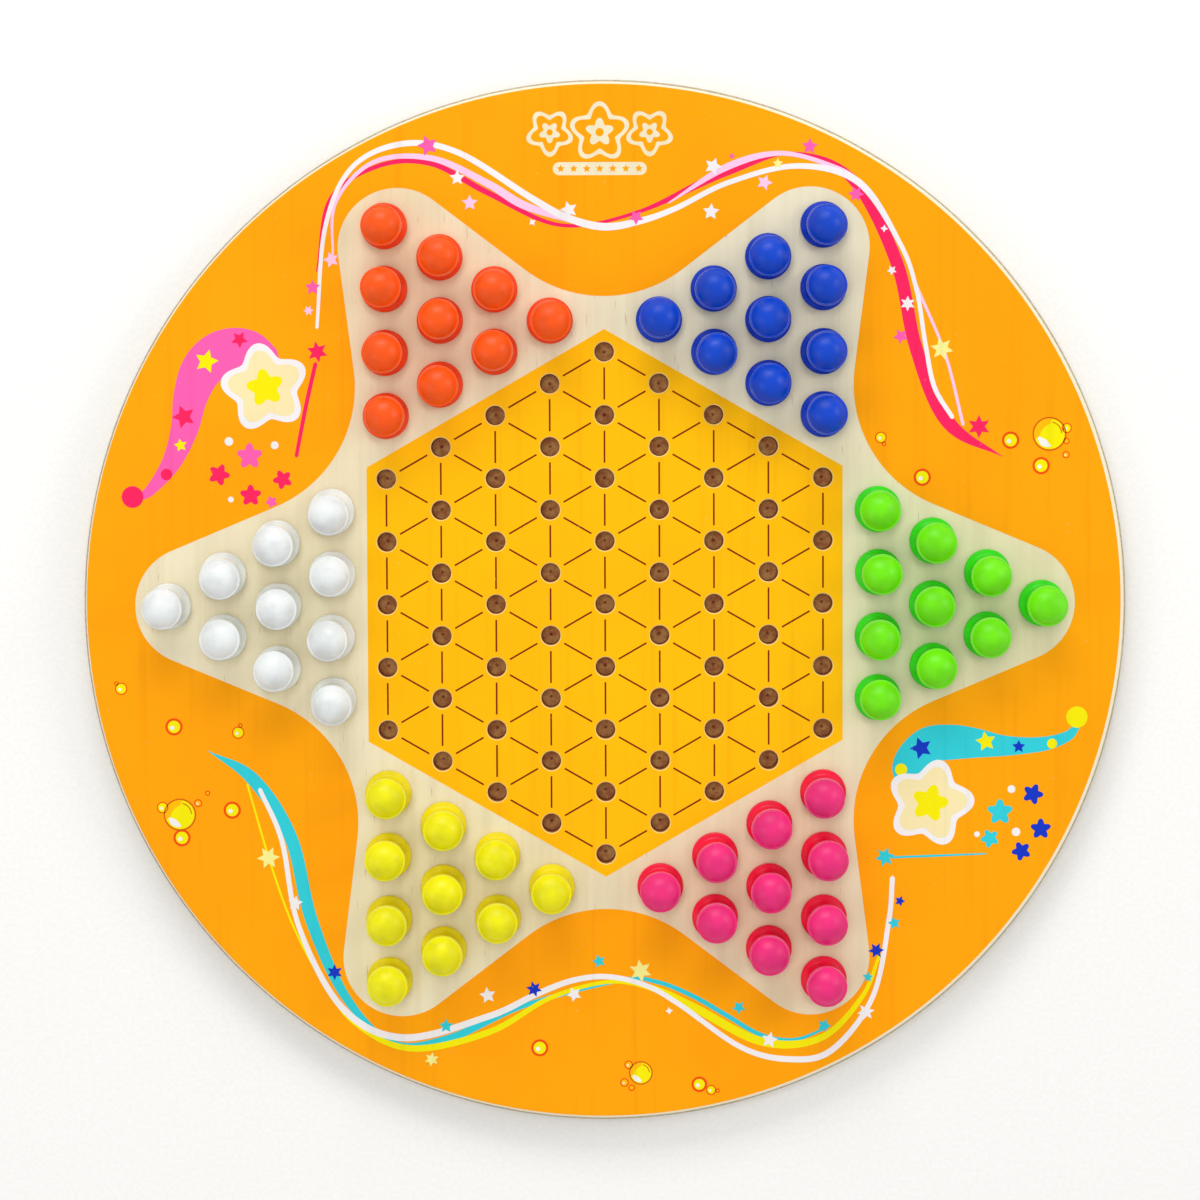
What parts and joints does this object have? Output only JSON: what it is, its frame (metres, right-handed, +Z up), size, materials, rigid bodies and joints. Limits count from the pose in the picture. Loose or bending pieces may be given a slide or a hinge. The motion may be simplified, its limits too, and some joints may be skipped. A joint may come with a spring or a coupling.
{
  "type": "chinese checkers board",
  "caption": "Round plywood Chinese checkers board with blind peg holes in a six-pointed star and turned, painted wooden pegs standing in its home triangles.",
  "frame": {"origin": "centre of the board's flat underside", "axes": "+Z up out of the playing face, +X through the tip of the green home triangle, +Y between the blue and the orange homes"},
  "size_m": [0.29, 0.29, 0.0248],
  "materials": {
    "board_wood": "matt clear lacquer",
    "paint_green": "gloss paint on turned wood",
    "paint_blue": "gloss paint on turned wood",
    "paint_orange": "gloss paint on turned wood",
    "paint_white": "gloss paint on turned wood",
    "paint_yellow": "gloss paint on turned wood",
    "paint_pink": "gloss paint on turned wood",
    "ink_orange": "ink printed on the wood",
    "ink_amber": "ink printed on the wood",
    "ink_brown": "ink printed on the wood",
    "ink_red": "ink printed on the wood",
    "ink_pink": "ink printed on the wood",
    "ink_pale_pink": "ink printed on the wood",
    "ink_white": "ink printed on the wood",
    "ink_yellow": "ink printed on the wood",
    "ink_cyan": "ink printed on the wood",
    "ink_navy": "ink printed on the wood"
  },
  "bodies": {
    "board": {"board": "board_wood"},
    "peg_green_1": {"peg_green_1": "paint_green"},
    "peg_green_2": {"peg_green_2": "paint_green"},
    "peg_green_3": {"peg_green_3": "paint_green"},
    "peg_green_4": {"peg_green_4": "paint_green"},
    "peg_green_5": {"peg_green_5": "paint_green"},
    "peg_green_6": {"peg_green_6": "paint_green"},
    "peg_green_7": {"peg_green_7": "paint_green"},
    "peg_green_8": {"peg_green_8": "paint_green"},
    "peg_green_9": {"peg_green_9": "paint_green"},
    "peg_green_10": {"peg_green_10": "paint_green"},
    "peg_blue_1": {"peg_blue_1": "paint_blue"},
    "peg_blue_2": {"peg_blue_2": "paint_blue"},
    "peg_blue_3": {"peg_blue_3": "paint_blue"},
    "peg_blue_4": {"peg_blue_4": "paint_blue"},
    "peg_blue_5": {"peg_blue_5": "paint_blue"},
    "peg_blue_6": {"peg_blue_6": "paint_blue"},
    "peg_blue_7": {"peg_blue_7": "paint_blue"},
    "peg_blue_8": {"peg_blue_8": "paint_blue"},
    "peg_blue_9": {"peg_blue_9": "paint_blue"},
    "peg_blue_10": {"peg_blue_10": "paint_blue"},
    "peg_orange_2": {"peg_orange_2": "paint_orange"},
    "peg_orange_3": {"peg_orange_3": "paint_orange"},
    "peg_orange_4": {"peg_orange_4": "paint_orange"},
    "peg_orange_5": {"peg_orange_5": "paint_orange"},
    "peg_orange_6": {"peg_orange_6": "paint_orange"},
    "peg_orange_7": {"peg_orange_7": "paint_orange"},
    "peg_orange_8": {"peg_orange_8": "paint_orange"},
    "peg_orange_9": {"peg_orange_9": "paint_orange"},
    "peg_orange_10": {"peg_orange_10": "paint_orange"},
    "peg_white_1": {"peg_white_1": "paint_white"},
    "peg_white_2": {"peg_white_2": "paint_white"},
    "peg_white_3": {"peg_white_3": "paint_white"},
    "peg_white_4": {"peg_white_4": "paint_white"},
    "peg_white_5": {"peg_white_5": "paint_white"},
    "peg_white_6": {"peg_white_6": "paint_white"},
    "peg_white_7": {"peg_white_7": "paint_white"},
    "peg_white_8": {"peg_white_8": "paint_white"},
    "peg_white_9": {"peg_white_9": "paint_white"},
    "peg_white_10": {"peg_white_10": "paint_white"},
    "peg_yellow_1": {"peg_yellow_1": "paint_yellow"},
    "peg_yellow_2": {"peg_yellow_2": "paint_yellow"},
    "peg_yellow_3": {"peg_yellow_3": "paint_yellow"},
    "peg_yellow_4": {"peg_yellow_4": "paint_yellow"},
    "peg_yellow_5": {"peg_yellow_5": "paint_yellow"},
    "peg_yellow_6": {"peg_yellow_6": "paint_yellow"},
    "peg_yellow_7": {"peg_yellow_7": "paint_yellow"},
    "peg_yellow_8": {"peg_yellow_8": "paint_yellow"},
    "peg_yellow_9": {"peg_yellow_9": "paint_yellow"},
    "peg_yellow_10": {"peg_yellow_10": "paint_yellow"},
    "peg_pink_1": {"peg_pink_1": "paint_pink"},
    "peg_pink_2": {"peg_pink_2": "paint_pink"},
    "peg_pink_3": {"peg_pink_3": "paint_pink"},
    "peg_pink_4": {"peg_pink_4": "paint_pink"},
    "peg_pink_5": {"peg_pink_5": "paint_pink"},
    "peg_pink_6": {"peg_pink_6": "paint_pink"},
    "peg_pink_7": {"peg_pink_7": "paint_pink"},
    "peg_pink_8": {"peg_pink_8": "paint_pink"},
    "peg_pink_9": {"peg_pink_9": "paint_pink"},
    "peg_pink_10": {"peg_pink_10": "paint_pink"}
  },
  "joints": [
    {"name": "lift_green_1", "type": "slide", "parent": "board", "child": "peg_green_1", "axis": [0, 0, 1], "range_m": [0, 0.03]},
    {"name": "lift_green_2", "type": "slide", "parent": "board", "child": "peg_green_2", "axis": [0, 0, 1], "range_m": [0, 0.03]},
    {"name": "lift_green_3", "type": "slide", "parent": "board", "child": "peg_green_3", "axis": [0, 0, 1], "range_m": [0, 0.03]},
    {"name": "lift_green_4", "type": "slide", "parent": "board", "child": "peg_green_4", "axis": [0, 0, 1], "range_m": [0, 0.03]},
    {"name": "lift_green_5", "type": "slide", "parent": "board", "child": "peg_green_5", "axis": [0, 0, 1], "range_m": [0, 0.03]},
    {"name": "lift_green_6", "type": "slide", "parent": "board", "child": "peg_green_6", "axis": [0, 0, 1], "range_m": [0, 0.03]},
    {"name": "lift_green_7", "type": "slide", "parent": "board", "child": "peg_green_7", "axis": [0, 0, 1], "range_m": [0, 0.03]},
    {"name": "lift_green_8", "type": "slide", "parent": "board", "child": "peg_green_8", "axis": [0, 0, 1], "range_m": [0, 0.03]},
    {"name": "lift_green_9", "type": "slide", "parent": "board", "child": "peg_green_9", "axis": [0, 0, 1], "range_m": [0, 0.03]},
    {"name": "lift_green_10", "type": "slide", "parent": "board", "child": "peg_green_10", "axis": [0, 0, 1], "range_m": [0, 0.03]},
    {"name": "lift_blue_1", "type": "slide", "parent": "board", "child": "peg_blue_1", "axis": [0, 0, 1], "range_m": [0, 0.03]},
    {"name": "lift_blue_2", "type": "slide", "parent": "board", "child": "peg_blue_2", "axis": [0, 0, 1], "range_m": [0, 0.03]},
    {"name": "lift_blue_3", "type": "slide", "parent": "board", "child": "peg_blue_3", "axis": [0, 0, 1], "range_m": [0, 0.03]},
    {"name": "lift_blue_4", "type": "slide", "parent": "board", "child": "peg_blue_4", "axis": [0, 0, 1], "range_m": [0, 0.03]},
    {"name": "lift_blue_5", "type": "slide", "parent": "board", "child": "peg_blue_5", "axis": [0, 0, 1], "range_m": [0, 0.03]},
    {"name": "lift_blue_6", "type": "slide", "parent": "board", "child": "peg_blue_6", "axis": [0, 0, 1], "range_m": [0, 0.03]},
    {"name": "lift_blue_7", "type": "slide", "parent": "board", "child": "peg_blue_7", "axis": [0, 0, 1], "range_m": [0, 0.03]},
    {"name": "lift_blue_8", "type": "slide", "parent": "board", "child": "peg_blue_8", "axis": [0, 0, 1], "range_m": [0, 0.03]},
    {"name": "lift_blue_9", "type": "slide", "parent": "board", "child": "peg_blue_9", "axis": [0, 0, 1], "range_m": [0, 0.03]},
    {"name": "lift_blue_10", "type": "slide", "parent": "board", "child": "peg_blue_10", "axis": [0, 0, 1], "range_m": [0, 0.03]},
    {"name": "lift_orange_2", "type": "slide", "parent": "board", "child": "peg_orange_2", "axis": [0, 0, 1], "range_m": [0, 0.03]},
    {"name": "lift_orange_3", "type": "slide", "parent": "board", "child": "peg_orange_3", "axis": [0, 0, 1], "range_m": [0, 0.03]},
    {"name": "lift_orange_4", "type": "slide", "parent": "board", "child": "peg_orange_4", "axis": [0, 0, 1], "range_m": [0, 0.03]},
    {"name": "lift_orange_5", "type": "slide", "parent": "board", "child": "peg_orange_5", "axis": [0, 0, 1], "range_m": [0, 0.03]},
    {"name": "lift_orange_6", "type": "slide", "parent": "board", "child": "peg_orange_6", "axis": [0, 0, 1], "range_m": [0, 0.03]},
    {"name": "lift_orange_7", "type": "slide", "parent": "board", "child": "peg_orange_7", "axis": [0, 0, 1], "range_m": [0, 0.03]},
    {"name": "lift_orange_8", "type": "slide", "parent": "board", "child": "peg_orange_8", "axis": [0, 0, 1], "range_m": [0, 0.03]},
    {"name": "lift_orange_9", "type": "slide", "parent": "board", "child": "peg_orange_9", "axis": [0, 0, 1], "range_m": [0, 0.03]},
    {"name": "lift_orange_10", "type": "slide", "parent": "board", "child": "peg_orange_10", "axis": [0, 0, 1], "range_m": [0, 0.03]},
    {"name": "lift_white_1", "type": "slide", "parent": "board", "child": "peg_white_1", "axis": [0, 0, 1], "range_m": [0, 0.03]},
    {"name": "lift_white_2", "type": "slide", "parent": "board", "child": "peg_white_2", "axis": [0, 0, 1], "range_m": [0, 0.03]},
    {"name": "lift_white_3", "type": "slide", "parent": "board", "child": "peg_white_3", "axis": [0, 0, 1], "range_m": [0, 0.03]},
    {"name": "lift_white_4", "type": "slide", "parent": "board", "child": "peg_white_4", "axis": [0, 0, 1], "range_m": [0, 0.03]},
    {"name": "lift_white_5", "type": "slide", "parent": "board", "child": "peg_white_5", "axis": [0, 0, 1], "range_m": [0, 0.03]},
    {"name": "lift_white_6", "type": "slide", "parent": "board", "child": "peg_white_6", "axis": [0, 0, 1], "range_m": [0, 0.03]},
    {"name": "lift_white_7", "type": "slide", "parent": "board", "child": "peg_white_7", "axis": [0, 0, 1], "range_m": [0, 0.03]},
    {"name": "lift_white_8", "type": "slide", "parent": "board", "child": "peg_white_8", "axis": [0, 0, 1], "range_m": [0, 0.03]},
    {"name": "lift_white_9", "type": "slide", "parent": "board", "child": "peg_white_9", "axis": [0, 0, 1], "range_m": [0, 0.03]},
    {"name": "lift_white_10", "type": "slide", "parent": "board", "child": "peg_white_10", "axis": [0, 0, 1], "range_m": [0, 0.03]},
    {"name": "lift_yellow_1", "type": "slide", "parent": "board", "child": "peg_yellow_1", "axis": [0, 0, 1], "range_m": [0, 0.03]},
    {"name": "lift_yellow_2", "type": "slide", "parent": "board", "child": "peg_yellow_2", "axis": [0, 0, 1], "range_m": [0, 0.03]},
    {"name": "lift_yellow_3", "type": "slide", "parent": "board", "child": "peg_yellow_3", "axis": [0, 0, 1], "range_m": [0, 0.03]},
    {"name": "lift_yellow_4", "type": "slide", "parent": "board", "child": "peg_yellow_4", "axis": [0, 0, 1], "range_m": [0, 0.03]},
    {"name": "lift_yellow_5", "type": "slide", "parent": "board", "child": "peg_yellow_5", "axis": [0, 0, 1], "range_m": [0, 0.03]},
    {"name": "lift_yellow_6", "type": "slide", "parent": "board", "child": "peg_yellow_6", "axis": [0, 0, 1], "range_m": [0, 0.03]},
    {"name": "lift_yellow_7", "type": "slide", "parent": "board", "child": "peg_yellow_7", "axis": [0, 0, 1], "range_m": [0, 0.03]},
    {"name": "lift_yellow_8", "type": "slide", "parent": "board", "child": "peg_yellow_8", "axis": [0, 0, 1], "range_m": [0, 0.03]},
    {"name": "lift_yellow_9", "type": "slide", "parent": "board", "child": "peg_yellow_9", "axis": [0, 0, 1], "range_m": [0, 0.03]},
    {"name": "lift_yellow_10", "type": "slide", "parent": "board", "child": "peg_yellow_10", "axis": [0, 0, 1], "range_m": [0, 0.03]},
    {"name": "lift_pink_1", "type": "slide", "parent": "board", "child": "peg_pink_1", "axis": [0, 0, 1], "range_m": [0, 0.03]},
    {"name": "lift_pink_2", "type": "slide", "parent": "board", "child": "peg_pink_2", "axis": [0, 0, 1], "range_m": [0, 0.03]},
    {"name": "lift_pink_3", "type": "slide", "parent": "board", "child": "peg_pink_3", "axis": [0, 0, 1], "range_m": [0, 0.03]},
    {"name": "lift_pink_4", "type": "slide", "parent": "board", "child": "peg_pink_4", "axis": [0, 0, 1], "range_m": [0, 0.03]},
    {"name": "lift_pink_5", "type": "slide", "parent": "board", "child": "peg_pink_5", "axis": [0, 0, 1], "range_m": [0, 0.03]},
    {"name": "lift_pink_6", "type": "slide", "parent": "board", "child": "peg_pink_6", "axis": [0, 0, 1], "range_m": [0, 0.03]},
    {"name": "lift_pink_7", "type": "slide", "parent": "board", "child": "peg_pink_7", "axis": [0, 0, 1], "range_m": [0, 0.03]},
    {"name": "lift_pink_8", "type": "slide", "parent": "board", "child": "peg_pink_8", "axis": [0, 0, 1], "range_m": [0, 0.03]},
    {"name": "lift_pink_9", "type": "slide", "parent": "board", "child": "peg_pink_9", "axis": [0, 0, 1], "range_m": [0, 0.03]},
    {"name": "lift_pink_10", "type": "slide", "parent": "board", "child": "peg_pink_10", "axis": [0, 0, 1], "range_m": [0, 0.03]}
  ]
}
